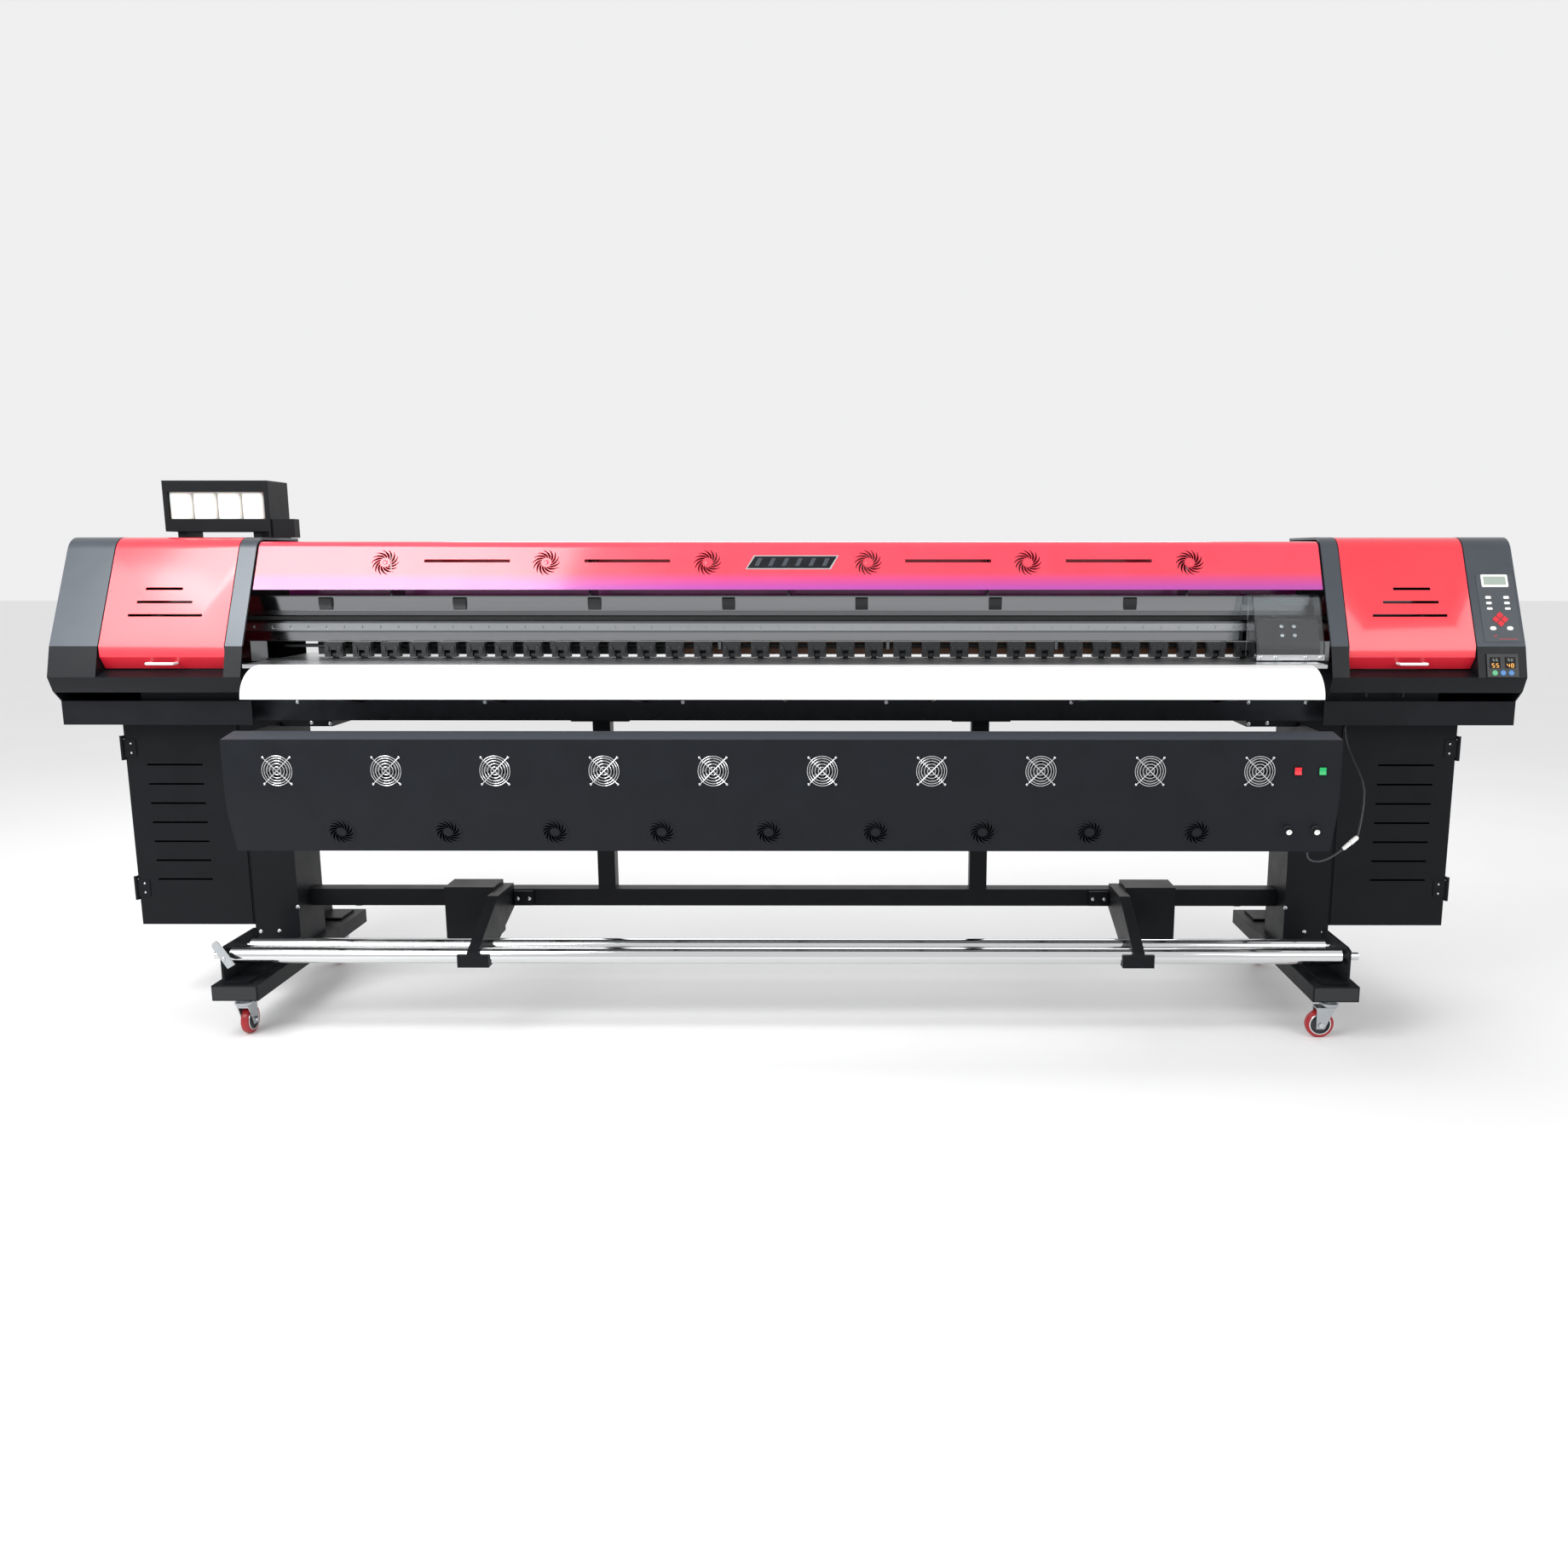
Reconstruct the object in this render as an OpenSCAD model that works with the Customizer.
// Wide-format roll-to-roll inkjet printer: frame, print bridge, end housings, drying box and
// take-up rollers. Millimetres, +Z up, operator's side towards -Y, origin on the floor under the
// middle of the machine.

/* [Overall] */
// Width of the white apron, which is the widest media the machine takes
apron_w = 3300; // [2700:50:3900]
// Height of the platen's top face above the floor
platen_h = 1190; // [1150:10:1290]
// Clearance between pieces that only lie beside each other
lie_gap = 0.3; // [0.2:0.1:0.5]
// Radial clearance of a shaft that turns in a bore
run_gap = 0.1; // [0.05:0.05:0.1]
// Radial clearance of a tube or rod that is loosely guided
loose_gap = 0.4; // [0.3:0.1:0.6]

/* [Feet and casters] */
// Width of a foot beam
foot_w = 147; // [130:1:170]
// Height of a foot beam
foot_t = 51; // [40:1:60]
// How far a foot beam reaches to the front of the machine's centre
foot_front = 418; // [400:1:450]
// How far a foot beam reaches to the rear of the machine's centre
foot_rear = 480; // [460:1:520]
// Wall of the square steel tubes
tube_wall = 5; // [3:0.5:8]
// Height of a foot beam's underside above the floor
foot_z = 135; // [125:1:150]
// Diameter of a caster wheel
caster_d = 90; // [75:1:100]
// Width of a caster wheel
caster_w = 28; // [22:1:34]
// Distance from a caster's swivel axis back to its axle
caster_trail = 28; // [20:1:36]
// Diameter of a caster's axle
caster_axle_d = 10; // [8:1:12]
// Distance of the caster swivels from a foot's front end and rear end
caster_inset = 58; // [50:1:80]

/* [Frame] */
// Width of a leg, across the machine
leg_w = 153; // [120:1:180]
// Depth of a leg, front to rear
leg_d = 200; // [160:1:220]
// Front face of the legs
leg_front = -42; // [-60:1:-30]
// Distance from the apron's end to a leg's inner face
leg_offset = 40; // [20:1:60]
// Section of the lower cross beam and the middle posts
post_w = 60; // [40:1:80]
// Distance of the middle posts from the machine's centre
post_x = 648; // [400:1:900]
// Height of the cross beam's top face
cross_top = 378; // [340:1:420]
// Front face of the middle posts and the cross beam
post_front = 54; // [40:1:80]
// Height of the main beam
main_h = 204; // [180:1:230]
// Front face of the main beam
main_front = -60; // [-80:1:-50]
// Rear face of the main beam
main_rear = 150; // [130:1:200]

/* [Platen and apron] */
// Thickness of the platen plate
platen_t = 12; // [11:1:14]
// Front edge of the platen, where the apron begins
platen_front = -275; // [-300:1:-260]
// Rear edge of the platen, where the rear slope begins
platen_rear = 230; // [200:1:250]
// How far the apron reaches forward of the platen
apron_reach = 136; // [110:1:150]
// How far the apron drops below the platen
apron_drop = 94; // [70:1:110]
// Thickness of the apron sheet
apron_t = 3; // [2:0.5:5]
// Number of pinch rollers along the platen
pinch_count = 33; // [21:2:39]
// Diameter of a gripping ring on the feed roller
grit_d = 30; // [26:1:32]
// Diameter of the feed roller's shaft
feed_shaft_d = 20; // [16:1:22]
// Front to rear position of the feed roller
feed_y = -20; // [-24:1:-18]
// Diameter of a pinch wheel
pinch_d = 20; // [16:1:24]
// Width of a pinch wheel
pinch_w = 18; // [12:1:20]

/* [Print bridge] */
// Depth of the rail beam
rail_beam_d = 130; // [110:1:150]
// Height of the rail beam
rail_beam_h = 150; // [140:1:160]
// Gap between the platen and the underside of the rail beam
bridge_gap = 55; // [50:1:60]
// Height of the linear rail
rail_h = 24; // [20:1:28]
// Depth of the linear rail
rail_d = 20; // [16:1:24]
// Distance between the rail's screws
rail_pitch = 60; // [40:5:100]
// Radius of the belt pulleys
pulley_r = 20; // [16:1:22]
// Width of the drive belt
belt_w = 12; // [8:1:13]
// Thickness of the drive belt
belt_t = 1.5; // [1:0.5:2]

/* [Carriage] */
// Width of the carriage
carriage_w = 220; // [180:1:240]
// How far inside the apron's end the carriage stands
park_inset = 30; // [30:10:250]
// Gap between the print heads and the platen
head_gap = 2.5; // [2.5:0.5:4]

/* [Beam cover] */
// Height of the red beam cover's top above the platen
cover_rise = 382; // [370:1:386]
// Height of the red beam cover's lower edge above the platen
cover_edge = 227; // [222:1:240]
// Sheet thickness of the covers and doors
sheet = 3; // [2:0.5:4]

/* [End housings] */
// Gap from the apron's end to an end housing's inner face
housing_gap = 95; // [80:1:110]
// Width of the grey band beside a door
band_w = 55; // [45:1:65]
// Width of a door
door_w = 410; // [380:1:440]
// Width of the end cap outboard of a door
cap_w = 155; // [140:1:165]
// Height of the end housings' top above the platen
housing_rise = 396; // [390:1:410]
// Radius of the housings' upper front corner
housing_r = 70; // [50:1:90]
// Rear face of the housings
housing_rear = 300; // [280:1:320]
// Height above the platen where the grey housing meets the black base
seam_rise = 50; // [40:1:60]
// Front to rear position of that seam
seam_y = -174; // [-180:1:-170]
// Lean of the housings' front from the vertical, in degrees
front_lean = 26.3; // [24:0.1:28]
// Angle to which a door opens
door_open = 75; // [60:1:80]
// Wall of the housings and the bases
shell_t = 4; // [3:0.5:5]

/* [Cabinets] */
// Width of a cabinet, outboard of its leg
cabinet_w = 386; // [340:1:390]
// Underside of the cabinets
cabinet_z = 278; // [250:1:320]
// Front face of the cabinets, behind their doors
cabinet_front = -44; // [-44:1:-40]
// Number of slots in a cabinet door
slot_count = 7; // [5:1:9]

/* [Drying box] */
// Distance from a leg's inner face to the drying box's end
dryer_clear = 1; // [1:0.5:3]
// Distance between the fans
fan_pitch = 329.5; // [300:0.5:380]
// Diameter of a fan's opening
fan_d = 92; // [80:1:100]
// Distance between a fan's screws
fan_screws = 82; // [70:1:90]
// Wall of the drying box
dryer_t = 3; // [2:0.5:4]

/* [Take-up and supply] */
// Diameter of the take-up rollers
roller_d = 51; // [45:1:56]
// Front to rear position of the front take-up roller
front_roller_y = -350; // [-360:1:-340]
// Front to rear position of the rear take-up roller
rear_roller_y = -250; // [-255:1:-245]
// Height of the take-up rollers' axes above the feet
roller_rise = 80; // [74:1:94]
// Diameter of the rollers' end journals
journal_d = 24; // [20:1:28]
// Distance of the left middle support from the machine's centre
left_support_x = 992; // [900:1:1150]
// Distance of the right middle support from the machine's centre
right_support_x = 1122; // [900:1:1150]

/* [Ink rack] */
// Width of the ink rack
rack_w = 396; // [360:1:420]
// Height of the ink rack
rack_h = 188; // [170:1:200]
// Depth of the ink rack
rack_d = 150; // [120:1:170]
// Number of ink tanks
tank_count = 4; // [2:1:5]

/* [Hidden] */

steel_black = "#1e2024";
satin_black = "#23262b";
gunmetal = "#565c63";
red = "#e8283c";
chrome = "#c9ccd0";
bare_alu = "#a9adb2";

// Widths, from the centre outwards
leg_inner = apron_w / 2 + leg_offset;
leg_outer = leg_inner + leg_w;
housing_in = apron_w / 2 + housing_gap;
door_in = housing_in + band_w;
door_out = door_in + door_w;
housing_out = door_out + cap_w;
beam_half = door_out - 60;
foot_x = leg_inner + leg_w / 2 - 24;
park_x = apron_w / 2 - park_inset;
dryer_w = 2 * (leg_inner - dryer_clear);
// As many fans as find room
fan_count = floor((dryer_w - 40) / fan_pitch);
end_plate_x = leg_inner + 92;

// Heights
foot_top = foot_z + foot_t;
roller_z = foot_top + roller_rise;
main_top = platen_h - platen_t;
main_bottom = platen_h - main_h;
base_bottom = main_bottom - shell_t - lie_gap;
cabinet_top = base_bottom - lie_gap;
seam_z = platen_h + seam_rise;
housing_top = platen_h + housing_rise;
cover_top = platen_h + cover_rise;
cover_bottom = platen_h + cover_edge;
rail_beam_z = platen_h + bridge_gap;
rail_z = rail_beam_z + 36;
groove_z = rail_beam_z + 66;
groove_h = 20;
groove_d = 60;

// Housing side view: a straight rear, a flat top, a round corner and a leaning front. d moves it inwards.
lean_c = cos(front_lean);
lean_s = sin(front_lean);
function front_at(z, d = 0) = seam_y + ((z - seam_z) * lean_s + d) / lean_c;
function corner_y(top, r, d = 0) = seam_y + (r + d + (top - r - seam_z) * lean_s) / lean_c;
function arc(cy, cz, r, a0, a1, n) =
    [for (i = [0 : n]) let (a = a0 + (a1 - a0) * i / n) [cy + r * cos(a), cz + r * sin(a)]];
function hood_line(d, top, r, set, rear, bottom) = concat(
    [[rear - d, bottom], [rear - d, top - d]],
    arc(corner_y(top, r, set), top - r, r - d, 90, 180 - front_lean, 8),
    [[front_at(bottom, d + set), bottom]]);

// Lays a drawing made in the (y, z) plane along x, from x0 to x1
module along_x(x0, x1) translate([x0, 0, 0]) rotate([90, 0, 90]) linear_extrude(x1 - x0) children();
// Mirrors a piece of the right-hand end to the left-hand end
module to_left() mirror([1, 0, 0]) children();
module block(x0, x1, y0, y1, z0, z1) translate([x0, y0, z0]) cube([x1 - x0, y1 - y0, z1 - z0]);
module rod_x(x0, x1, y, z, r) translate([x0, y, z]) rotate([0, 90, 0]) cylinder(r = r, h = x1 - x0, $fn = 48);
module rod_y(x, y0, y1, z, r) translate([x, y1, z]) rotate([90, 0, 0]) cylinder(r = r, h = y1 - y0, $fn = 48);
module rod_z(x, y, z0, z1, r) translate([x, y, z0]) cylinder(r = r, h = z1 - z0, $fn = 48);

// ---------- Frame ----------

module foot() color(steel_black) difference() {
    block(foot_x - foot_w / 2, foot_x + foot_w / 2, -foot_front, foot_rear, foot_z, foot_top);
    block(foot_x - foot_w / 2 + tube_wall, foot_x + foot_w / 2 - tube_wall, tube_wall - foot_front,
        foot_rear + 1, foot_z + tube_wall, foot_top - tube_wall);
}

// A leg: box tube, flange on the foot, gusset under the main beam and the arm that holds the drying box
gusset_reach = 170;
gusset_t = 20;
arm_x = dryer_w / 2 + lie_gap;
arm_t = 8;
dryer_pin_y = -400;
dryer_pin_z = main_bottom - 20;
module leg() color(steel_black) {
    difference() {
        union() {
            block(leg_inner, leg_outer, leg_front, leg_front + leg_d, foot_top, main_bottom);
            block(leg_inner - 25, foot_x + foot_w / 2, leg_front - 25, leg_front + leg_d + 25,
                foot_top, foot_top + 8);
            block(leg_inner - gusset_reach, leg_inner + 1, main_front, leg_front + leg_d - 10,
                main_bottom - gusset_t, main_bottom);
        }
        block(leg_inner + tube_wall, leg_outer - tube_wall, leg_front + tube_wall,
            leg_front + leg_d - tube_wall, foot_top + 8, main_bottom + 1);
    }
    along_x(arm_x, arm_x + arm_t) polygon([[leg_front, main_bottom - 60], [leg_front, main_bottom - 5],
        [dryer_pin_y - 12, dryer_pin_z + 12], [dryer_pin_y - 12, dryer_pin_z - 12],
        [dryer_pin_y + 12, dryer_pin_z - 16]]);
}
module left_foot() to_left() foot();
module right_foot() foot();
module left_leg() to_left() leg();
module right_leg() leg();

// The cross beam between the legs and the two middle posts, each with a wide top plate
post_plate_w = 200;
post_plate_t = 16;
module lower_frame() color(steel_black) {
    block(-leg_inner, leg_inner, post_front, post_front + post_w, cross_top - post_w, cross_top);
    for (s = [-1, 1]) {
        block(s * post_x - post_w / 2, s * post_x + post_w / 2, post_front, post_front + post_w,
            cross_top, main_bottom - post_plate_t);
        block(s * post_x - post_plate_w / 2, s * post_x + post_plate_w / 2, post_front - 20,
            post_front + post_w + 20, main_bottom - post_plate_t, main_bottom);
    }
}

// The main beam is a box extrusion with a trough for the feed roller along its top
trough_z = main_top - 32;
trough_y0 = feed_y - 24;
trough_y1 = feed_y + 24;
roll_z = platen_h + 0.2 - grit_d / 2;
feed_journal_d = 14;
feed_half = apron_w / 2 + 55;
rib_count = 7;
cap_x = park_x + 335;
cap_y = -100;
cap_shelf_z = platen_h - 90;
cap_rod_d = 12;
module main_beam() color(steel_black) {
    difference() {
        block(-beam_half, beam_half, main_front, main_rear, main_bottom, main_top);
        block(-beam_half - 1, beam_half + 1, main_front + tube_wall, main_rear - tube_wall,
            main_bottom + tube_wall, trough_z - 10);
        block(-beam_half - 1, beam_half + 1, trough_y0, trough_y1, trough_z, main_top + 1);
    }
    for (s = [-1, 1]) difference() {
        block(s * (feed_half + 15) - 10, s * (feed_half + 15) + 10, trough_y0, trough_y1, trough_z, platen_h);
        rod_x(s * (feed_half + 15) - 11, s * (feed_half + 15) + 11, feed_y, roll_z,
            feed_journal_d / 2 + run_gap);
    }
    for (i = [0 : rib_count - 1]) apron_rib((i - (rib_count - 1) / 2) * apron_w / rib_count);
    difference() {
        block(cap_x - 90, cap_x + 90, cap_y - 40, main_front, cap_shelf_z, cap_shelf_z + 6);
        for (s = [-1, 1]) rod_z(cap_x + s * 60, cap_y, cap_shelf_z - 1, cap_shelf_z + 7,
            cap_rod_d / 2 + loose_gap);
    }
}
module apron_rib(x) along_x(x - 3, x + 3)
    polygon([[main_front, main_bottom + 60], [main_front, main_top], [platen_front, main_top],
        [platen_front - apron_reach + apron_t + 1, platen_h - apron_drop + 6],
        [platen_front - apron_reach + apron_t + 1, platen_h - apron_drop]]);

// ---------- Platen, apron and media feed ----------

pinch_pitch = apron_w / (pinch_count + 2);
function pinch_x(i) = (i - (pinch_count - 1) / 2) * pinch_pitch;
platen_half = apron_w / 2 + 50;
rear_reach = 90;
rear_drop = 70;
module platen() color(bare_alu) difference() {
    along_x(-platen_half, platen_half) polygon(concat(
        [[platen_front, main_top], [platen_front, platen_h], [platen_rear, platen_h]],
        [for (i = [1 : 8]) [platen_rear + rear_reach * sin(i * 90 / 8),
            platen_h - rear_drop + rear_drop * cos(i * 90 / 8)]],
        [for (i = [8 : -1 : 0]) [platen_rear + (rear_reach - apron_t) * sin(i * 90 / 8),
            platen_h - rear_drop + (rear_drop - platen_t) * cos(i * 90 / 8)]]));
    for (i = [0 : pinch_count - 1]) block(pinch_x(i) - 22, pinch_x(i) + 22, feed_y - grit_d / 2 - 1,
        feed_y + grit_d / 2 + 1, main_top - 1, platen_h + 1);
    // Room under the plate for the feed roller's shaft
    block(-platen_half - 1, platen_half + 1, feed_y - 14, feed_y + 14, main_top - 1,
        roll_z + feed_shaft_d / 2 + 1);
}

// The apron is a quarter ellipse of white sheet
module front_apron() color("#f4f4f2") along_x(-apron_w / 2, apron_w / 2) polygon(concat(
    [for (i = [0 : 12]) [platen_front - apron_reach * sin(i * 90 / 12),
        platen_h - 1 - apron_drop + apron_drop * cos(i * 90 / 12)]],
    [for (i = [12 : -1 : 0]) [platen_front - (apron_reach - apron_t) * sin(i * 90 / 12),
        platen_h - 1 - apron_drop + (apron_drop - apron_t) * cos(i * 90 / 12)]]));

module feed_roller() color("#8d9095") {
    rod_x(-feed_half, feed_half, feed_y, roll_z, feed_shaft_d / 2);
    for (s = [-1, 1]) rod_x(s * feed_half - (s < 0 ? 30 : 0), s * feed_half + (s > 0 ? 30 : 0),
        feed_y, roll_z, feed_journal_d / 2);
    for (i = [0 : pinch_count - 1]) rod_x(pinch_x(i) - 20, pinch_x(i) + 20, feed_y, roll_z, grit_d / 2);
}

// The pinch arms hang on one shaft under the rail beam and lift together
pivot_y = 45;
pivot_z = rail_beam_z - 17;
pivot_d = 12;
wheel_z = platen_h + 0.2 + lie_gap + pinch_d / 2;
cheek_w = 20;
axle_d = 5;
module pinch_arms() color(steel_black) {
    rod_x(-feed_half, feed_half, pivot_y, pivot_z, pivot_d / 2);
    for (i = [0 : pinch_count - 1]) difference() {
        union() {
            block(pinch_x(i) - pinch_w / 2 - 1 - cheek_w, pinch_x(i) + pinch_w / 2 + 1 + cheek_w,
                feed_y - 18, feed_y + 12, wheel_z - 5, rail_beam_z - 2);
            block(pinch_x(i) - 15, pinch_x(i) + 15, feed_y + 11, pivot_y, pivot_z - 8, pivot_z);
            rod_x(pinch_x(i) - 15, pinch_x(i) + 15, pivot_y, pivot_z, pivot_d / 2 + 4);
        }
        block(pinch_x(i) - pinch_w / 2 - 1, pinch_x(i) + pinch_w / 2 + 1, feed_y - 20, feed_y + 11,
            wheel_z - 6, wheel_z + pinch_d / 2 + 8);
    }
    for (i = [0 : pinch_count - 1])
        rod_x(pinch_x(i) - pinch_w / 2 - 2, pinch_x(i) + pinch_w / 2 + 2, feed_y, wheel_z, axle_d / 2);
}
module pinch_wheels() color("#3a3a3c") for (i = [0 : pinch_count - 1]) difference() {
    rod_x(pinch_x(i) - pinch_w / 2, pinch_x(i) + pinch_w / 2, feed_y, wheel_z, pinch_d / 2);
    rod_x(pinch_x(i) - pinch_w / 2 - 1, pinch_x(i) + pinch_w / 2 + 1, feed_y, wheel_z, axle_d / 2 + run_gap);
}

// ---------- Print bridge ----------

hanger_count = 6;
function hanger_x(i) = (i - (hanger_count - 1) / 2) * pinch_pitch * 6 + pinch_pitch / 2;
bridge_post_w = 60;
pulley_x = beam_half - 35;
pulley_y = 27;
bracket_count = 5;
module rail_beam() color(bare_alu) {
    difference() {
        block(-beam_half, beam_half, 0, rail_beam_d, rail_beam_z, rail_beam_z + rail_beam_h);
        block(-beam_half - 1, beam_half + 1, tube_wall, rail_beam_d - tube_wall, rail_beam_z + tube_wall,
            groove_z - tube_wall);
        block(-beam_half - 1, beam_half + 1, tube_wall, rail_beam_d - tube_wall,
            groove_z + groove_h + tube_wall, rail_beam_z + rail_beam_h - tube_wall);
        block(-beam_half - 1, beam_half + 1, -1, groove_d, groove_z, groove_z + groove_h);
    }
    // Posts at both ends stand on the main beam
    for (s = [-1, 1], x = [beam_half - 40, housing_in + 90])
        block(s * x - bridge_post_w / 2, s * x + bridge_post_w / 2, 10, rail_beam_d, main_top, rail_beam_z);
    // Hangers carry the shaft of the pinch arms
    for (i = [0 : hanger_count - 1]) difference() {
        block(hanger_x(i) - 5, hanger_x(i) + 5, pivot_y - 14, pivot_y + 14, pivot_z - 12, rail_beam_z);
        rod_x(hanger_x(i) - 6, hanger_x(i) + 6, pivot_y, pivot_z, pivot_d / 2 + run_gap);
    }
    // Brackets carry the red cover
    for (i = [0 : bracket_count - 1]) cover_bracket((i - (bracket_count - 1) / 2) * apron_w / bracket_count);
}
module cover_bracket(x) along_x(x - 3, x + 3) polygon([
    [5, rail_beam_z + rail_beam_h], [30, cover_top - sheet], [170, cover_top - sheet],
    [rail_beam_d - 5, rail_beam_z + rail_beam_h]]);

rail_half = beam_half - 70;
rail_screws = floor((2 * rail_half - 20) / rail_pitch);
module linear_rail() color(chrome) difference() {
    block(-rail_half, rail_half, -rail_d, 0, rail_z, rail_z + rail_h);
    for (i = [0 : rail_screws]) rod_y((i - rail_screws / 2) * rail_pitch, -rail_d - 1, 4 - rail_d,
        rail_z + rail_h / 2, 5.5);
}

cover_set = 5;
cover_r = 36;
cover_rear = 185;
cover_half = housing_in - 6;
cover_rear_bottom = rail_beam_z + 60;
cover_slot_w = 281;
cover_slot_h = 10;
cover_slots = [-1050, -525, 525, 1050];
// The cover is bent sheet: a leaning front, a flat top and a rear flap
module cover_sheet() along_x(-cover_half, cover_half) difference() {
    polygon(hood_line(0, cover_top, cover_r, cover_set, cover_rear, cover_rear_bottom));
    polygon(hood_line(sheet, cover_top, cover_r, cover_set, cover_rear, cover_rear_bottom - 1));
    translate([-400, cover_rear_bottom - 10]) square([400 + cover_rear - 20, cover_bottom - cover_rear_bottom + 10]);
}
// Four long slots let warm air out through the leaning front
module beam_cover() color(red) difference() {
    cover_sheet();
    for (x = cover_slots) block(x - cover_slot_w / 2, x + cover_slot_w / 2, front_at(cover_top - 63) - 20,
        front_at(cover_top - 63) + 30, cover_top - 63 - cover_slot_h / 2, cover_top - 63 + cover_slot_h / 2);
}

// Belt: two straight runs in the groove and a half turn round each pulley
belt_gap = 0.3;
belt_z = groove_z + groove_h / 2 - belt_w / 2;
module belt_outline(r) {
    for (s = [-1, 1]) translate([s * pulley_x, pulley_y]) circle(r = r, $fn = 64);
    translate([-pulley_x, pulley_y - r]) square([2 * pulley_x, 2 * r]);
}
module drive_belt() color("#151515") translate([0, 0, belt_z]) linear_extrude(belt_w) difference() {
    belt_outline(pulley_r + belt_gap + belt_t);
    belt_outline(pulley_r + belt_gap);
}
// Each pulley turns on its own pin, which stands in the groove
module pulley(s) color(bare_alu) {
    rod_z(s * pulley_x, pulley_y, belt_z - 2, belt_z + belt_w + 2, pulley_r);
    rod_z(s * pulley_x, pulley_y, groove_z + lie_gap, groove_z + groove_h - lie_gap, 5);
}
module motor_pulley() pulley(1);
module idler_pulley() pulley(-1);

// ---------- Carriage ----------

plate_z = platen_h + head_gap + 2;
block_front = -45;
body_front = -150;
module carriage() color("#2b2d31") {
    along_x(park_x - carriage_w / 2 + 12, park_x + carriage_w / 2 - 12) polygon([[body_front, plate_z + 6],
        [body_front, plate_z + 36], [body_front + 44, plate_z + 126], [block_front, plate_z + 126],
        [block_front, plate_z + 6]]);
    difference() {
        block(park_x - 55, park_x + 55, block_front, -4, rail_z - 9, rail_z + rail_h + 9);
        block(park_x - 56, park_x + 56, -rail_d - lie_gap, 1, rail_z - lie_gap, rail_z + rail_h + lie_gap);
    }
    // The tongue that grips the front run of the belt
    block(park_x - 20, park_x + 20, block_front, pulley_y - pulley_r - belt_gap - belt_t - lie_gap,
        rail_z + rail_h + 8, groove_z + groove_h - 4);
    difference() {
        block(park_x - carriage_w / 2, park_x + carriage_w / 2, -160, block_front, plate_z, plate_z + 6);
        for (i = [-1, 1]) block(park_x + i * 42 - 26, park_x + i * 42 + 26, -140, -60, plate_z - 1, plate_z + 7);
    }
}
cover_h = rail_beam_z + rail_beam_h + 7;
module carriage_outline(d) polygon(concat(
    [[-24 - d, plate_z + 6 + (d > 0 ? -1 : 0)], [-24 - d, cover_h - d]],
    arc(-57, cover_h - 36, 36 - d, 90, 180 - front_lean, 6),
    [[-157 + d, plate_z + 46], [-157 + d, plate_z + 6 + (d > 0 ? -1 : 0)]]));
module carriage_cover() color([0.75, 0.78, 0.8, 0.4]) difference() {
    along_x(park_x - carriage_w / 2, park_x + carriage_w / 2) carriage_outline(0);
    along_x(park_x - carriage_w / 2 + sheet, park_x + carriage_w / 2 - sheet) carriage_outline(sheet);
    block(park_x - 60, park_x + 60, block_front - 1, 0, plate_z + 5, groove_z + groove_h + 2);
    block(park_x - carriage_w, park_x + carriage_w, block_front, 0, plate_z + 5, rail_z + rail_h + 60);
}
module print_heads() color("#7d8288") for (i = [-1, 1]) {
    block(park_x + i * 42 - 25, park_x + i * 42 + 25, -139, -61, platen_h + head_gap, plate_z + 6);
}

cap_lift = 7;
module capping_station() color("#3b3d40") {
    block(cap_x - 85, cap_x + 85, cap_y - 37, cap_y + 37, platen_h + head_gap - lie_gap - cap_lift - 24,
        platen_h + head_gap - lie_gap - cap_lift);
    for (s = [-1, 1]) rod_z(cap_x + s * 60, cap_y, cap_shelf_z - 30,
        platen_h + head_gap - cap_lift - 20, cap_rod_d / 2);
}

// ---------- End housings ----------

ledge_z = seam_z - 75;
hinge_y = 60;
hinge_z = housing_top - 8;
hinge_pin_d = 8;
portal_margin = 8;
door_gap = 3;
module hood_section(x0, x1) along_x(x0, x1) difference() {
    polygon(hood_line(0, housing_top, housing_r, 0, housing_rear, seam_z));
    polygon(hood_line(shell_t, housing_top, housing_r, 0, housing_rear, seam_z - 1));
}
module hood_frame(x0, x1) along_x(x0, x1) difference() {
    polygon(hood_line(0.5, housing_top, housing_r, 0, housing_rear, seam_z));
    polygon(hood_line(portal_margin, housing_top, housing_r, 0, housing_rear, seam_z - 1));
}
module hood() {
    hood_section(housing_in, door_in);
    hood_frame(housing_in, housing_in + shell_t);
    hood_frame(door_in - shell_t, door_in);
    intersection() {
        hood_section(door_in - 1, door_out + 1);
        block(door_in - 1, door_out + 1, hinge_y + 11.5, housing_rear + 1, seam_z, housing_top + 1);
    }
    hood_section(door_out, housing_out);
    hood_frame(door_out, door_out + shell_t);
    along_x(housing_out - shell_t, housing_out)
        polygon(hood_line(0.5, housing_top, housing_r, 0, housing_rear, seam_z));
    // Ears and pins for the door's hinge
    for (x = [door_in - shell_t, door_out])
        block(x, x + shell_t, hinge_y - 10, hinge_y + 10, hinge_z - 10, housing_top - 1);
    rod_x(door_in - 1, door_in + 18, hinge_y, hinge_z, hinge_pin_d / 2);
    rod_x(door_out - 18, door_out + 1, hinge_y, hinge_z, hinge_pin_d / 2);
}
module left_hood() color(gunmetal) to_left() hood();
module right_hood() color(gunmetal) hood();

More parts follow.
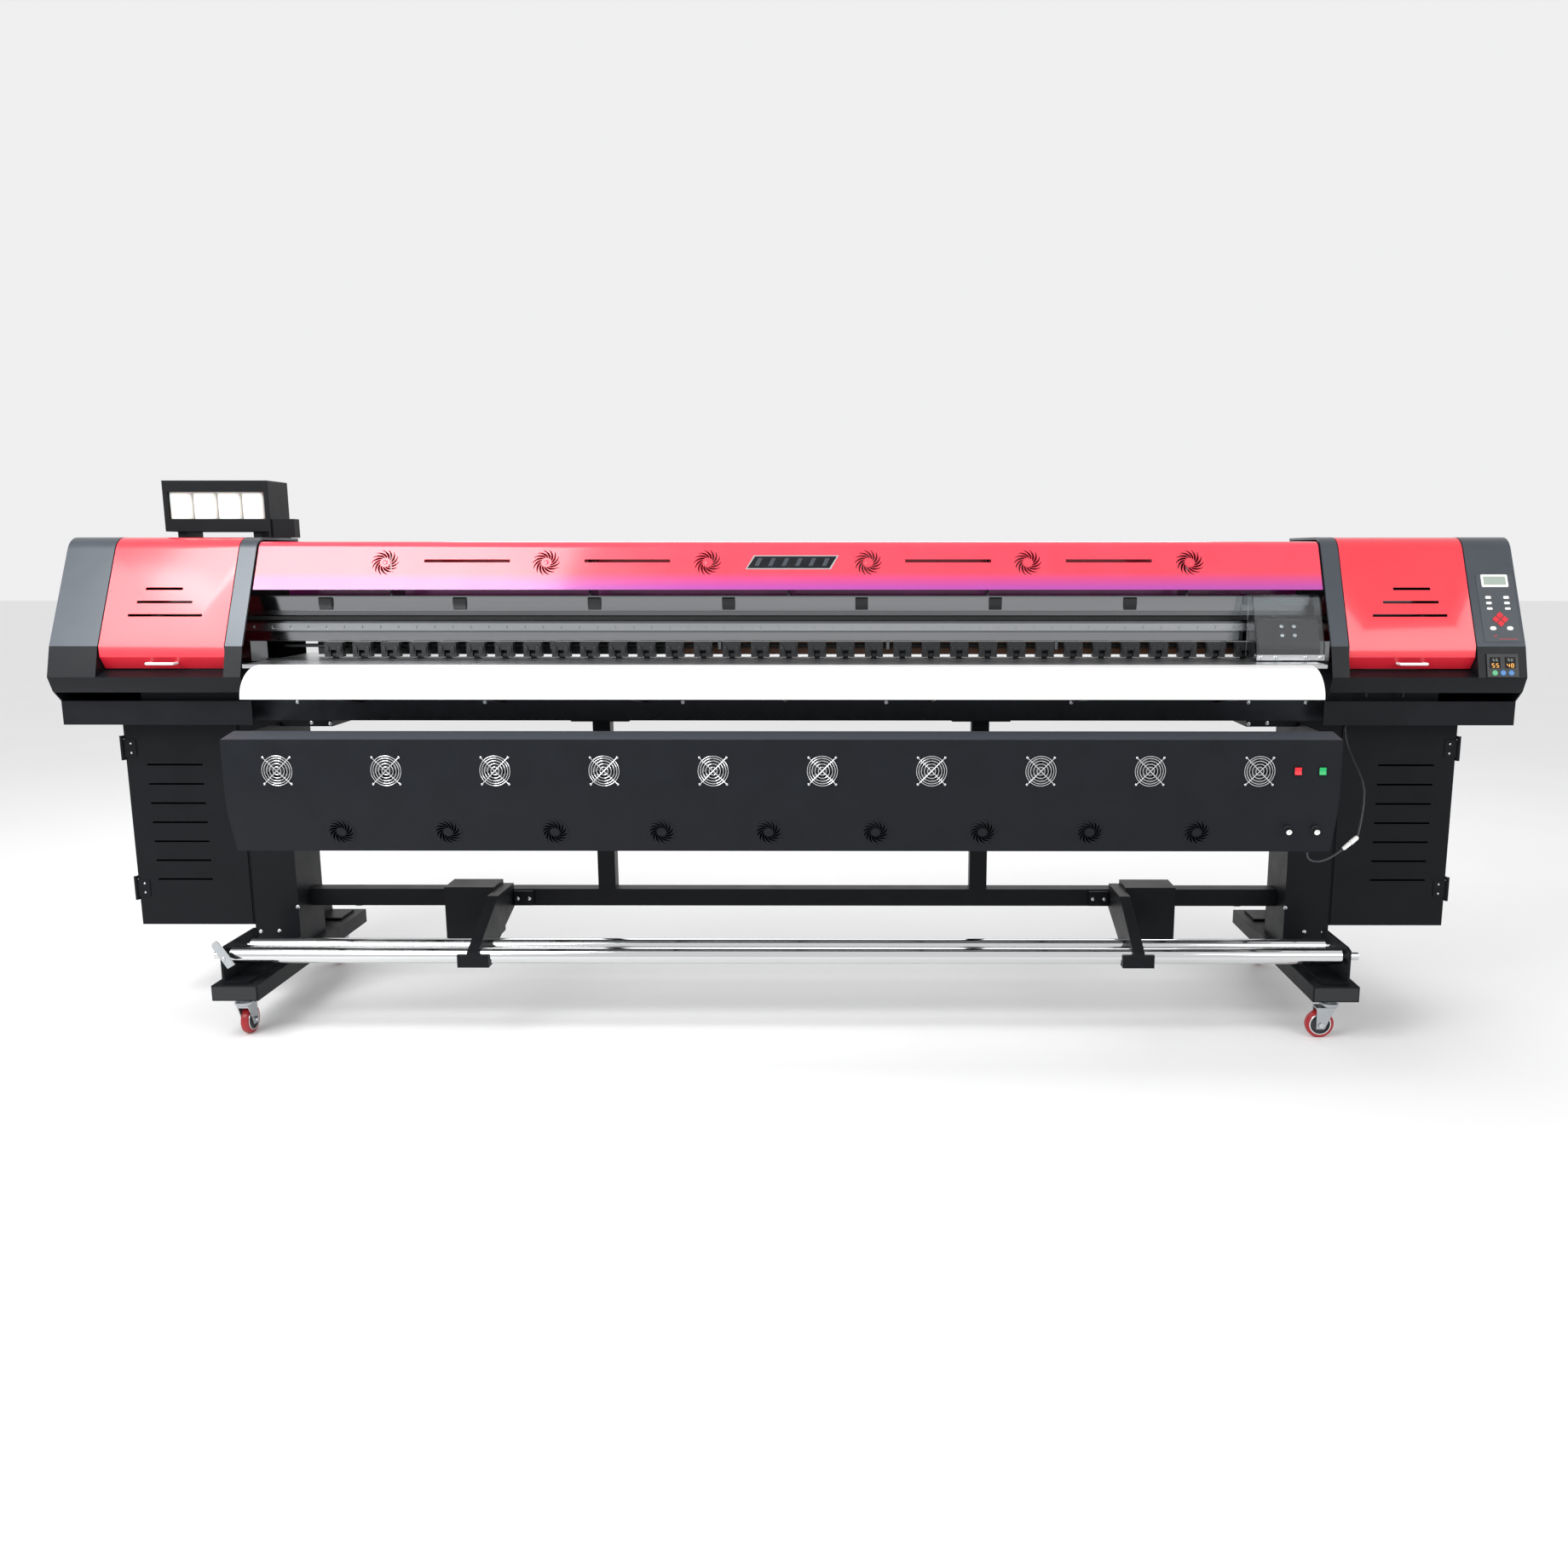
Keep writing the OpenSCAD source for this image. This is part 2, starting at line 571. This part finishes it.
// The door is bent sheet: top, round corner, leaning front, upright lip and undercut
lip_h = 35;
undercut_y = 28;
function door_line(d) = concat(
    [[hinge_y + 8, housing_top - d - 0.5]],
    arc(corner_y(housing_top, housing_r), housing_top - housing_r, housing_r - d - 0.5, 90, 180 - front_lean, 10),
    [[front_at(seam_z, d + 0.5), seam_z], [seam_y + d + 0.5, seam_z - lip_h],
    [seam_y + undercut_y + d, ledge_z + 1]]);
function reversed(list) = [for (i = [len(list) - 1 : -1 : 0]) list[i]];
door_slots = [[-40, 205, 118], [-10, 250, 170], [25, 295, 232]];
module door() difference() {
    union() {
        along_x(door_in + door_gap, door_out - door_gap) polygon(concat(door_line(0), reversed(door_line(sheet))));
        for (x = [door_in + door_gap, door_out - door_gap - 14]) difference() {
            along_x(x, x + 14) polygon([[hinge_y - 14, housing_top - sheet - 0.4],
                [hinge_y - 14, hinge_z - 4], [hinge_y - 4, hinge_z - 8],
                [hinge_y + 4, hinge_z - 8], [hinge_y + 7, housing_top - sheet - 0.4]]);
            rod_x(x - 1, x + 15, hinge_y, hinge_z, hinge_pin_d / 2 + run_gap);
        }
    }
    // Three long slots cut through the leaning front
    for (i = [0 : 2]) let (z = seam_z + 180 - 42 * i, half = 60 + 30 * i, cx = (door_in + door_out) / 2 + 20 - 8 * i)
        block(cx - half, cx + half, front_at(z) - 20, front_at(z) + 20, z - 4, z + 4);
}
module left_door() color(red) to_left() door();
module right_door() color(red) door();

// A bow handle on the door's undercut
handle_x = (door_in + door_out) / 2;
handle_w = 84;
handle_r = 4.5;
handle_z = ledge_z + 20;
handle_y = seam_y + undercut_y * (seam_z - lip_h - handle_z - handle_r) / (seam_z - lip_h - ledge_z - 1);
handle_out = 30;
module handle() {
    for (s = [-1, 1]) {
        rod_y(handle_x + s * handle_w / 2, handle_y - handle_out, handle_y - 0.1, handle_z, handle_r);
        translate([handle_x + s * handle_w / 2, handle_y - handle_out, handle_z]) sphere(handle_r, $fn = 32);
    }
    rod_x(handle_x - handle_w / 2, handle_x + handle_w / 2, handle_y - handle_out, handle_z, handle_r);
}
module left_handle() color("#f2f2f2") to_left() handle();
module right_handle() color("#f2f2f2") handle();

// Base side view: upright rear, upright belly, step out to a nose under the ledge
nose_y = seam_y - 28;
belly_y = seam_y + 32;
function base_line(d, z0, z1, z2) = [
    [housing_rear - d, z0], [housing_rear - d, z2],
    [belly_y + 40, z2], [belly_y + 6 + d, z1],
    [nose_y + 2 * d, z1 - 22], [nose_y + 22 + d, z1 - 70],
    [belly_y + d, z1 - 105], [belly_y + d, z0]];
function cheek_line(d, z0, z1) = [
    [housing_rear - d, z0], [housing_rear - d, z1],
    [seam_y + d, z1], [nose_y + d, ledge_z - 22], [nose_y + 22 + d, ledge_z - 70],
    [belly_y + d, ledge_z - 105], [belly_y + d, z0]];
module base_shell() difference() {
    union() {
        along_x(housing_in, housing_out) polygon(base_line(0, base_bottom, ledge_z, ledge_z));
        along_x(housing_in, door_in) polygon(cheek_line(0, base_bottom, seam_z));
        along_x(door_out, housing_out) polygon(cheek_line(0, base_bottom, seam_z));
        along_x(housing_in, housing_out) polygon([[housing_rear - shell_t, base_bottom],
            [housing_rear, base_bottom], [housing_rear, seam_z], [housing_rear - shell_t, seam_z]]);
    }
    // Inside of the shell, open upwards into the hood behind the ledge
    along_x(housing_in + shell_t, housing_out - shell_t)
        polygon(base_line(shell_t, base_bottom + shell_t, ledge_z - shell_t, ledge_z - shell_t));
    block(housing_in + shell_t, housing_out - shell_t, belly_y + 1, housing_rear - shell_t, ledge_z - 30, seam_z + 1);
    along_x(housing_in - 1, door_in - shell_t) polygon(cheek_line(shell_t, main_bottom - 6, seam_z + 1));
    along_x(door_in - shell_t - 1, door_in + 1) polygon([[seam_y - 6, ledge_z + 1],
        [housing_rear - shell_t, ledge_z + 1], [housing_rear - shell_t, seam_z + 1], [seam_y + 6, seam_z + 1]]);
    along_x(door_out + shell_t, housing_out - shell_t) polygon(cheek_line(shell_t, base_bottom + shell_t, seam_z + 1));
    // Room for the leg and for the main beam
    block(housing_in - 1, leg_outer + lie_gap, leg_front - lie_gap, leg_front + leg_d + lie_gap,
        base_bottom - 1, main_bottom + 1);
}
module left_base() color(satin_black) to_left() base_shell();
// The right base also has the gland that the drying box's lead comes out of
gland_r = 8;
module right_base() color(satin_black) {
    base_shell();
    rod_z(leg_inner + 140, leg_front - 68, base_bottom - 6.7, base_bottom + 1, gland_r);
}

// ---------- Cabinets ----------

cabinet_out = leg_outer + cabinet_w;
panel_t = 3;
hinge_r = 6;
hinge_x = cabinet_out + hinge_r;
door_hinge_y = cabinet_front - lie_gap - panel_t - 3;
cabinet_hinge_len = 60;
cabinet_hinges = [cabinet_top - 90, cabinet_z + 130];
module cabinet() {
    difference() {
        block(leg_outer, cabinet_out, cabinet_front, housing_rear - 20, cabinet_z, cabinet_top);
        block(leg_outer + sheet, cabinet_out - sheet, cabinet_front - 1, housing_rear - 20 - sheet,
            cabinet_z + sheet, cabinet_top - sheet);
    }
    // Hinge ears and pin: the door's barrel sits between the ears
    for (z = cabinet_hinges) {
        for (s = [-1, 1]) {
            block(cabinet_out, hinge_x + 1, door_hinge_y, cabinet_front + 20,
                z + s * (cabinet_hinge_len / 2 + 6) - 5, z + s * (cabinet_hinge_len / 2 + 6) + 5);
            rod_z(hinge_x, door_hinge_y, z + s * (cabinet_hinge_len / 2 + 6) - 5,
                z + s * (cabinet_hinge_len / 2 + 6) + 5, hinge_r);
        }
        rod_z(hinge_x, door_hinge_y, z - cabinet_hinge_len / 2 - 8, z + cabinet_hinge_len / 2 + 8, 2.5);
    }
}
module left_cabinet() color(satin_black) to_left() cabinet();
module right_cabinet() color(satin_black) cabinet();

module cabinet_door() {
    difference() {
        block(leg_outer + 4, cabinet_out - 2, cabinet_front - lie_gap - panel_t, cabinet_front - lie_gap,
            cabinet_z + 4, cabinet_top - 4);
        for (i = [0 : slot_count - 1])
            block(leg_outer + 130, cabinet_out - 70, cabinet_front - 10, cabinet_front + 1,
                cabinet_top - 150 - i * 66, cabinet_top - 144 - i * 66);
    }
    for (z = cabinet_hinges) {
        difference() {
            union() {
                rod_z(hinge_x, door_hinge_y, z - cabinet_hinge_len / 2, z + cabinet_hinge_len / 2, hinge_r);
                block(cabinet_out - 40, hinge_x, door_hinge_y, door_hinge_y + 3,
                    z - cabinet_hinge_len / 2, z + cabinet_hinge_len / 2);
            }
            rod_z(hinge_x, door_hinge_y, z - cabinet_hinge_len / 2 - 1, z + cabinet_hinge_len / 2 + 1,
                2.5 + run_gap);
        }
    }
}
module left_cabinet_door() color(satin_black) to_left() cabinet_door();
module right_cabinet_door() color(satin_black) cabinet_door();

// ---------- Control panel ----------

// Puts a drawing on the leaning front of the end cap: u across, v up the slope from the seam
module on_slope(lift = 0) translate([0, seam_y, seam_z]) rotate([90 - front_lean, 0, 0])
    translate([0, 0, lift]) children();
panel_x0 = door_out + 26;
panel_w = cap_w - 36;
panel_v0 = 16;
panel_h = 236;
plate_t = 1.6;
module control_panel() color("#4c5259") on_slope() translate([panel_x0, panel_v0, 0]) cube([panel_w, panel_h, plate_t]);
key_x = panel_x0 + panel_w / 2;
module keypad() color("#f0f0f0") on_slope(plate_t) {
    for (s = [-1, 1], i = [0 : 2]) translate([key_x + s * 29 - 9, 126 + i * 19, 0]) cube([18, 8 + i, 1.4]);
    for (s = [-1, 1]) translate([key_x + s * 27, 62, 0]) cylinder(r = 9, h = 1.4, $fn = 40);
    for (a = [0 : 90 : 270]) translate([key_x, 93, 0]) rotate([0, 0, a]) translate([0, 14, 0])
        rotate([0, 0, 45]) translate([-9, -9, 0]) cube([17.6, 17.6, 1.8]);
}
// The temperature controller lies on the upright black part of the end cap
ctrl_z = ledge_z - 20;
ctrl_h = 72;
module temperature_controller() color("#111214") along_x(panel_x0, panel_x0 + 100) polygon([
    [cheek_front(ctrl_z), ctrl_z], [cheek_front(ctrl_z + ctrl_h), ctrl_z + ctrl_h],
    [cheek_front(ctrl_z + ctrl_h) - 5, ctrl_z + ctrl_h], [cheek_front(ctrl_z) - 5, ctrl_z]]);
function cheek_front(z) = z >= ledge_z - 22 ?
    seam_y + (nose_y - seam_y) * (seam_z - z) / (seam_z - ledge_z + 22) :
    nose_y + 22 * (ledge_z - 22 - z) / 48;

// ---------- Ink rack ----------

rack_x = -(housing_in - 36 + rack_w / 2);
rack_y = 105;
tank_w = (rack_w - 60) / tank_count;
module ink_rack() color(steel_black) {
    translate([rack_x - rack_w / 2, 0, housing_top]) {
        // Front frame with its window
        difference() {
            block(0, rack_w - 40, rack_y, rack_y + 6, 20, rack_h);
            block(16, rack_w - 56, rack_y - 1, rack_y + 7, 62, rack_h - 38);
        }
        // Side walls, shelf and base rails
        block(0, 6, rack_y, rack_y + rack_d, 20, rack_h);
        block(rack_w - 48, rack_w - 40, rack_y, rack_y + rack_d, 0, rack_h);
        block(0, rack_w - 40, rack_y, rack_y + rack_d, 20, 26);
        block(0, rack_w - 40, rack_y + rack_d - 6, rack_y + rack_d, 20, 90);
        for (x = [30, rack_w - 110]) block(x, x + 30, rack_y + 20, rack_y + rack_d - 20, 0, 21);
        block(rack_w - 41, rack_w + 36, rack_y + 8, rack_y + 50, 0, 62);
    }
}
module ink_tanks() color("#eeeeea") for (i = [0 : tank_count - 1])
    translate([rack_x - rack_w / 2 + 12 + i * (tank_w - 2), rack_y + 10, housing_top + 26 + lie_gap]) {
        cube([tank_w - 8, rack_d - 24, 132]);
        translate([(tank_w - 8) / 2, 40, 131]) cylinder(r = 16, h = 15, $fn = 40);
    }

// ---------- Take-up and supply ----------

front_half = end_plate_x - 14;
rear_half = front_half - 18;
supply_y = 385;
supply_z = roller_z;
plate_x0 = end_plate_x;
plate_x1 = end_plate_x + 8;
support_t = 36;
clamp_w = 100;
motor_box_w = 170;
module roller_brackets() color(steel_black) for (m = [0, 1]) mirror([m, 0, 0]) {
    support_x = m == 0 ? right_support_x : left_support_x;
    // End plate on the front of the foot
    difference() {
        union() {
            along_x(plate_x0, plate_x1) polygon([[-395, foot_top + 8], [-395, roller_z + 30],
                [-370, roller_z + 36], [-165, roller_z + 36], [-150, roller_z + 20], [-150, foot_top + 8]]);
            block(foot_x - 40, plate_x1, -395, -150, foot_top, foot_top + 8);
        }
        rod_x(plate_x0 - 1, plate_x1 + 1, front_roller_y, roller_z, journal_d / 2 + run_gap);
        rod_x(plate_x0 - 1, plate_x1 + 1, rear_roller_y, roller_z, journal_d / 2 + run_gap);
    }
    // Middle support: an arm from the cross beam with a bearing hole for each roller, and a motor box
    difference() {
        union() {
            along_x(support_x - support_t / 2, support_x + support_t / 2) polygon([
                [post_front, cross_top - post_w], [post_front, cross_top + 22], [-140, cross_top + 27],
                [front_roller_y - roller_d / 2 - 10.5, roller_z + 20],
                [front_roller_y - roller_d / 2 - 10.5, roller_z - roller_d / 2 - 4.5],
                [rear_roller_y + roller_d / 2 + 12.5, roller_z - roller_d / 2 - 4.5], [-90, roller_z + 10]]);
            // Clamp under the front roller
            block(support_x - clamp_w / 2, support_x + clamp_w / 2,
                front_roller_y - roller_d / 2 - 10.5, front_roller_y + roller_d / 2 + 10.5,
                roller_z - roller_d / 2 - 4.5, roller_z + 12);
        }
        rod_x(support_x - clamp_w, support_x + clamp_w, front_roller_y, roller_z, roller_d / 2 + loose_gap);
        rod_x(support_x - support_t, support_x + support_t, rear_roller_y, roller_z, roller_d / 2 + loose_gap);
    }
    block(support_x + support_t / 2, support_x + support_t / 2 + motor_box_w, -60, post_front,
        cross_top - 148, cross_top + 36);
    // Rear plate for the supply shaft
    difference() {
        union() {
            along_x(plate_x0, plate_x1) polygon([[supply_y - 60, foot_top + 8], [supply_y - 30, supply_z + 30],
                [supply_y + 30, supply_z + 30], [supply_y + 60, foot_top + 8]]);
            block(foot_x - 40, plate_x1, supply_y - 60, supply_y + 60, foot_top, foot_top + 8);
        }
        rod_x(plate_x0 - 1, plate_x1 + 1, supply_y, supply_z, journal_d / 2 + run_gap);
    }
}
module roller(half, y, z, tip) {
    difference() {
        rod_x(-half, half, y, z, roller_d / 2);
        rod_x(-half + 30, half - 30, y, z, roller_d / 2 - 3);
    }
    for (s = [0, 1]) mirror([s, 0, 0]) rod_x(half - 1, tip, y, z, journal_d / 2);
}
journal_tip = end_plate_x + 46;
module takeup_front_roller() color(chrome) roller(front_half, front_roller_y, roller_z, journal_tip);
module takeup_rear_roller() color(chrome) roller(rear_half, rear_roller_y, roller_z, journal_tip - 20);
flange_r = 40;
module supply_shaft() color(chrome) {
    roller(front_half, supply_y, supply_z, journal_tip - 20);
    for (s = [-1, 1]) rod_x(s * apron_w / 2 - 12, s * apron_w / 2 + 12, supply_y, supply_z, flange_r);
}

// ---------- Drying box ----------

dryer_front = -476;
dryer_top = main_bottom - 6;
dryer_rear = -386;
dryer_low_front = -424;
dryer_bottom = dryer_top - 354;
dryer_bend = dryer_top - 150;
function dryer_line(d) = [
    [dryer_front + d, dryer_top - d], [dryer_rear - d, dryer_top + 15 - d],
    [dryer_rear - d, dryer_bend], [dryer_rear + 30 - d, dryer_bottom + d],
    [dryer_low_front + d, dryer_bottom + d], [dryer_front + 12 + d, dryer_bend - 90],
    [dryer_front + 3 + d, dryer_bend - 40], [dryer_front + d, dryer_bend]];
function fan_x(i) = (i - (fan_count - 1) / 2) * fan_pitch - 40;
function vent_x(i) = (i - (fan_count - 2) / 2) * 328 - 42;
fan_z = dryer_top - 94;
vent_z = dryer_top - 289;
vent_d = 84;
switch_x = [dryer_w / 2 - 130, dryer_w / 2 - 56];
knob_x = [dryer_w / 2 - 144, dryer_w / 2 - 59];
knob_z = dryer_top - 277;
switch_w = 27;
switch_h = 33;
knob_shaft_d = 6;
// Front face at a height
function dryer_face(z) = z > dryer_bend ? dryer_front :
    z > dryer_bend - 90 ? dryer_front + 12 * (dryer_bend - z) / 90 :
    dryer_front + 12 + (dryer_low_front - dryer_front - 12) * (dryer_bend - 90 - z) / (dryer_bend - 90 - dryer_bottom);
bezel_t = 2.5;
bezel_w = 3;
module dryer_box() color(satin_black) difference() {
    union() {
        along_x(-dryer_w / 2, dryer_w / 2) polygon(dryer_line(0));
        for (x = switch_x) block(x - switch_w / 2, x + switch_w / 2, dryer_front - bezel_t, dryer_front + 1,
            fan_z - switch_h / 2, fan_z + switch_h / 2);
        rod_z(dryer_w / 2 - 59, dryer_low_front + 29, dryer_bottom - 8, dryer_bottom + 1, gland_r);
    }
    along_x(dryer_t - dryer_w / 2, dryer_w / 2 - dryer_t) polygon(dryer_line(dryer_t));
    for (i = [0 : fan_count - 1]) rod_y(fan_x(i), dryer_front - 1, dryer_front + dryer_t + 1, fan_z, fan_d / 2);
    for (i = [0 : fan_count - 2]) rod_y(vent_x(i), dryer_front - 1, dryer_front + 50, vent_z, vent_d / 2 - 6);
    for (x = switch_x) block(x - switch_w / 2 + bezel_w, x + switch_w / 2 - bezel_w, dryer_front - bezel_t - 1,
        dryer_front + dryer_t + 1, fan_z - switch_h / 2 + bezel_w, fan_z + switch_h / 2 - bezel_w);
    for (x = knob_x) knob_axis(x) translate([0, 0, -10]) cylinder(r = knob_shaft_d / 2 + run_gap, h = 20, $fn = 48);
}

// Finger guards: rings of wire on four arms, with a screw at each arm's end
ring_wire = 2.4;
module fan_guards() color(chrome) for (i = [0 : fan_count - 1])
    translate([fan_x(i), dryer_front, fan_z]) rotate([90, 0, 0]) {
        for (r = [12, 24, 36, 46]) rotate_extrude($fn = 40) translate([r - ring_wire / 2, 1])
            square([ring_wire, 2]);
        for (a = [45, 135]) rotate([0, 0, a]) translate([-fan_screws / sqrt(2), -2, 1])
            cube([fan_screws * sqrt(2), 4, 2.6]);
        for (sx = [-1, 1], sy = [-1, 1]) translate([sx * fan_screws / 2, sy * fan_screws / 2, 0])
            cylinder(r = 4, h = 4, $fn = 24);
    }
// Each fan is a square frame behind the wall with a rotor on its hub
fan_depth = 25;
module fan_rotors() color("#17181a") for (i = [0 : fan_count - 1])
    translate([fan_x(i), dryer_front + dryer_t, fan_z]) rotate([-90, 0, 0]) {
        difference() {
            translate([-fan_screws / 2 - 6, -fan_screws / 2 - 6, 0])
                cube([fan_screws + 12, fan_screws + 12, fan_depth]);
            translate([0, 0, -1]) cylinder(r = fan_d / 2 - 2, h = fan_depth - 3, $fn = 64);
        }
        cylinder(r = 17, h = fan_depth - 3, $fn = 40);
        for (a = [0 : 60 : 300]) rotate([0, 0, a]) translate([15, -1.5, 6]) cube([fan_d / 2 - 20, 3, 12]);
    }

// A rocker turns on its own barrel inside the switch's frame
rocker_y = dryer_front + 8;
rocker_half = switch_w / 2 - bezel_w - lie_gap;
module rocker(x) {
    rod_x(x - rocker_half, x + rocker_half, rocker_y, fan_z, 8);
    along_x(x - rocker_half, x + rocker_half) polygon([[rocker_y - 10.5, fan_z + 11.5],
        [rocker_y - 9.5, fan_z], [rocker_y - 12, fan_z - 10.8], [rocker_y, fan_z - 9], [rocker_y, fan_z + 9]]);
}
module red_switch() color("#c8102a") rocker(switch_x[0]);
module green_switch() color("#1fae6a") rocker(switch_x[1]);

knob_d = 26;
knob_len = 24;
// Puts a knob's axis square to the leaning lower part of the front wall
knob_lean = atan((dryer_low_front - dryer_front - 12) / (dryer_bend - 90 - dryer_bottom));
module knob_axis(x) translate([x, dryer_face(knob_z), knob_z]) rotate([90 + knob_lean, 0, 0]) children();
module knob(x) knob_axis(x) {
    translate([0, 0, lie_gap]) cylinder(d = knob_d, h = knob_len, $fn = 48);
    translate([0, 0, -20]) cylinder(d = knob_shaft_d, h = 22, $fn = 48);
}
module left_knob() color("#141416") knob(knob_x[0]);
module right_knob() color("#141416") knob(knob_x[1]);

// ---------- Lead from the right base to the drying box ----------

lead_d = 6;
lead_route = [
    [1830, -110, 975], [1830, -111, 958], [1832, -122, 930], [1834, -150, 900], [1836, -190, 870],
    [1836, -235, 845], [1834, -275, 822], [1828, -310, 795], [1818, -338, 760], [1806, -360, 722],
    [1794, -378, 688], [1786, -388, 664]];
lead_tail = [
    [1738, -400, 628], [1722, -402, 616], [1704, -403, 604], [1686, -403, 595], [1668, -401, 589],
    [1650, -398, 589], [1638, -396, 594], [1632, -395, 603], [1630, -395, 618]];
function unit(v) = v / norm(v);
function lead_dir(p, i) = unit(p[min(i + 1, len(p) - 1)] - p[max(i - 1, 0)]);
function ring(p, t, r, n) = let (a = unit(cross(t, [0.3, 1, 0.2])), b = cross(t, a))
    [for (k = [0 : n - 1]) p + r * (cos(360 * k / n) * a + sin(360 * k / n) * b)];
module tube(route, d, n = 8) {
    m = len(route);
    polyhedron(
        points = [for (i = [0 : m - 1]) each ring(route[i], lead_dir(route, i), d / 2, n)],
        faces = concat([[for (k = [n - 1 : -1 : 0]) k]],
            [for (i = [0 : m - 2], k = [0 : n - 1])
                [i * n + k, i * n + (k + 1) % n, (i + 1) * n + (k + 1) % n, (i + 1) * n + k]],
            [[for (k = [0 : n - 1]) (m - 1) * n + k]]));
}
module dryer_lead() color("#3c3e42") {
    tube(lead_route, lead_d);
    tube(lead_tail, lead_d);
}
// Two halves of an inline connector, plugged into each other
module lead_connector() color("#f0f0ee") {
    a = lead_route[len(lead_route) - 1];
    b = lead_tail[0];
    t = unit(b - a);
    translate(a) rotate([0, acos(t[2]), atan2(t[1], t[0])]) {
        cylinder(r = 8, h = norm(b - a) / 2 - 2, $fn = 32);
        cylinder(r = 5, h = norm(b - a), $fn = 32);
        translate([0, 0, norm(b - a) / 2 + 2]) cylinder(r = 7, h = norm(b - a) / 2 - 2, $fn = 32);
    }
}

// Mains inlet on the rear of the right cabinet
module power_inlet() color("#141416") difference() {
    block(cabinet_out - 160, cabinet_out - 110, housing_rear - 20, housing_rear - 8, cabinet_z + 60, cabinet_z + 120);
    block(cabinet_out - 152, cabinet_out - 118, housing_rear - 14, housing_rear - 7, cabinet_z + 68, cabinet_z + 92);
}

// ---------- Casters ----------

plate_thick = 5;
swivel_r = 16;
front_swivel = -foot_front + caster_inset;
rear_swivel = foot_rear - caster_inset;
wheel_r = caster_d / 2;
cheek_in = caster_w / 2 + 2;
crown_t = 6;
crown_z = caster_d + 6;
// A fork trails from its swivel towards angle a
module fork(x, y, a) color("#b9bcc0") translate([x, y, 0]) rotate([0, 0, a]) {
    translate([0, 0, foot_z - lie_gap - plate_thick]) cylinder(r = 32, h = plate_thick, $fn = 48);
    translate([0, 0, crown_z]) cylinder(r = swivel_r, h = foot_z - lie_gap - plate_thick - crown_z + 1, $fn = 48);
    translate([-16, -cheek_in - 3, crown_z]) cube([caster_trail + 32, 2 * cheek_in + 6, crown_t]);
    for (s = [-1, 1]) translate([0, s * (cheek_in + 1.5) - 1.5, 0]) rotate([90, 0, 0]) mirror([0, 0, 1])
        linear_extrude(3) polygon([[-16, crown_z + crown_t], [caster_trail + 16, crown_z + crown_t],
            [caster_trail + 14, wheel_r - 14], [caster_trail - 12, wheel_r - 14]]);
    translate([caster_trail, -cheek_in - 6, wheel_r]) rotate([-90, 0, 0])
        cylinder(d = caster_axle_d, h = 2 * cheek_in + 12, $fn = 32);
}
module wheel(x, y, a) color("#a3202c") translate([x, y, 0]) rotate([0, 0, a]) translate([caster_trail, 0, wheel_r])
    rotate([90, 0, 0]) difference() {
        rotate_extrude($fn = 96) polygon([[caster_axle_d / 2 + run_gap, -caster_w / 2], [24, -caster_w / 2],
            [28, 4 - caster_w / 2], [wheel_r - 8, 4 - caster_w / 2], [wheel_r - 3, 5 - caster_w / 2],
            [wheel_r, 10 - caster_w / 2], [wheel_r, caster_w / 2 - 10], [wheel_r - 3, caster_w / 2 - 5],
            [wheel_r - 8, caster_w / 2 - 4], [28, caster_w / 2 - 4], [24, caster_w / 2],
            [caster_axle_d / 2 + run_gap, caster_w / 2]]);
    }
front_left_turn = 90;
front_right_turn = 180;
rear_turn = -90;
module front_left_fork() fork(-foot_x, front_swivel, front_left_turn);
module front_left_wheel() wheel(-foot_x, front_swivel, front_left_turn);
module front_right_fork() fork(foot_x, front_swivel, front_right_turn);
module front_right_wheel() wheel(foot_x, front_swivel, front_right_turn);
module rear_left_fork() fork(-foot_x, rear_swivel, rear_turn);
module rear_left_wheel() wheel(-foot_x, rear_swivel, rear_turn);
module rear_right_fork() fork(foot_x, rear_swivel, rear_turn);
module rear_right_wheel() wheel(foot_x, rear_swivel, rear_turn);

left_foot();
right_foot();
left_leg();
right_leg();
lower_frame();
main_beam();
platen();
front_apron();
rail_beam();
linear_rail();
beam_cover();
left_hood();
right_hood();
left_base();
right_base();
left_cabinet();
right_cabinet();
control_panel();
keypad();
temperature_controller();
ink_rack();
ink_tanks();
roller_brackets();
dryer_box();
fan_guards();
fan_rotors();
dryer_lead();
lead_connector();
power_inlet();
drive_belt();
carriage();
carriage_cover();
print_heads();
motor_pulley();
idler_pulley();
capping_station();
left_door();
left_handle();
right_door();
right_handle();
left_cabinet_door();
right_cabinet_door();
feed_roller();
pinch_arms();
pinch_wheels();
takeup_front_roller();
takeup_rear_roller();
supply_shaft();
red_switch();
green_switch();
left_knob();
right_knob();
front_left_fork();
front_left_wheel();
front_right_fork();
front_right_wheel();
rear_left_fork();
rear_left_wheel();
rear_right_fork();
rear_right_wheel();
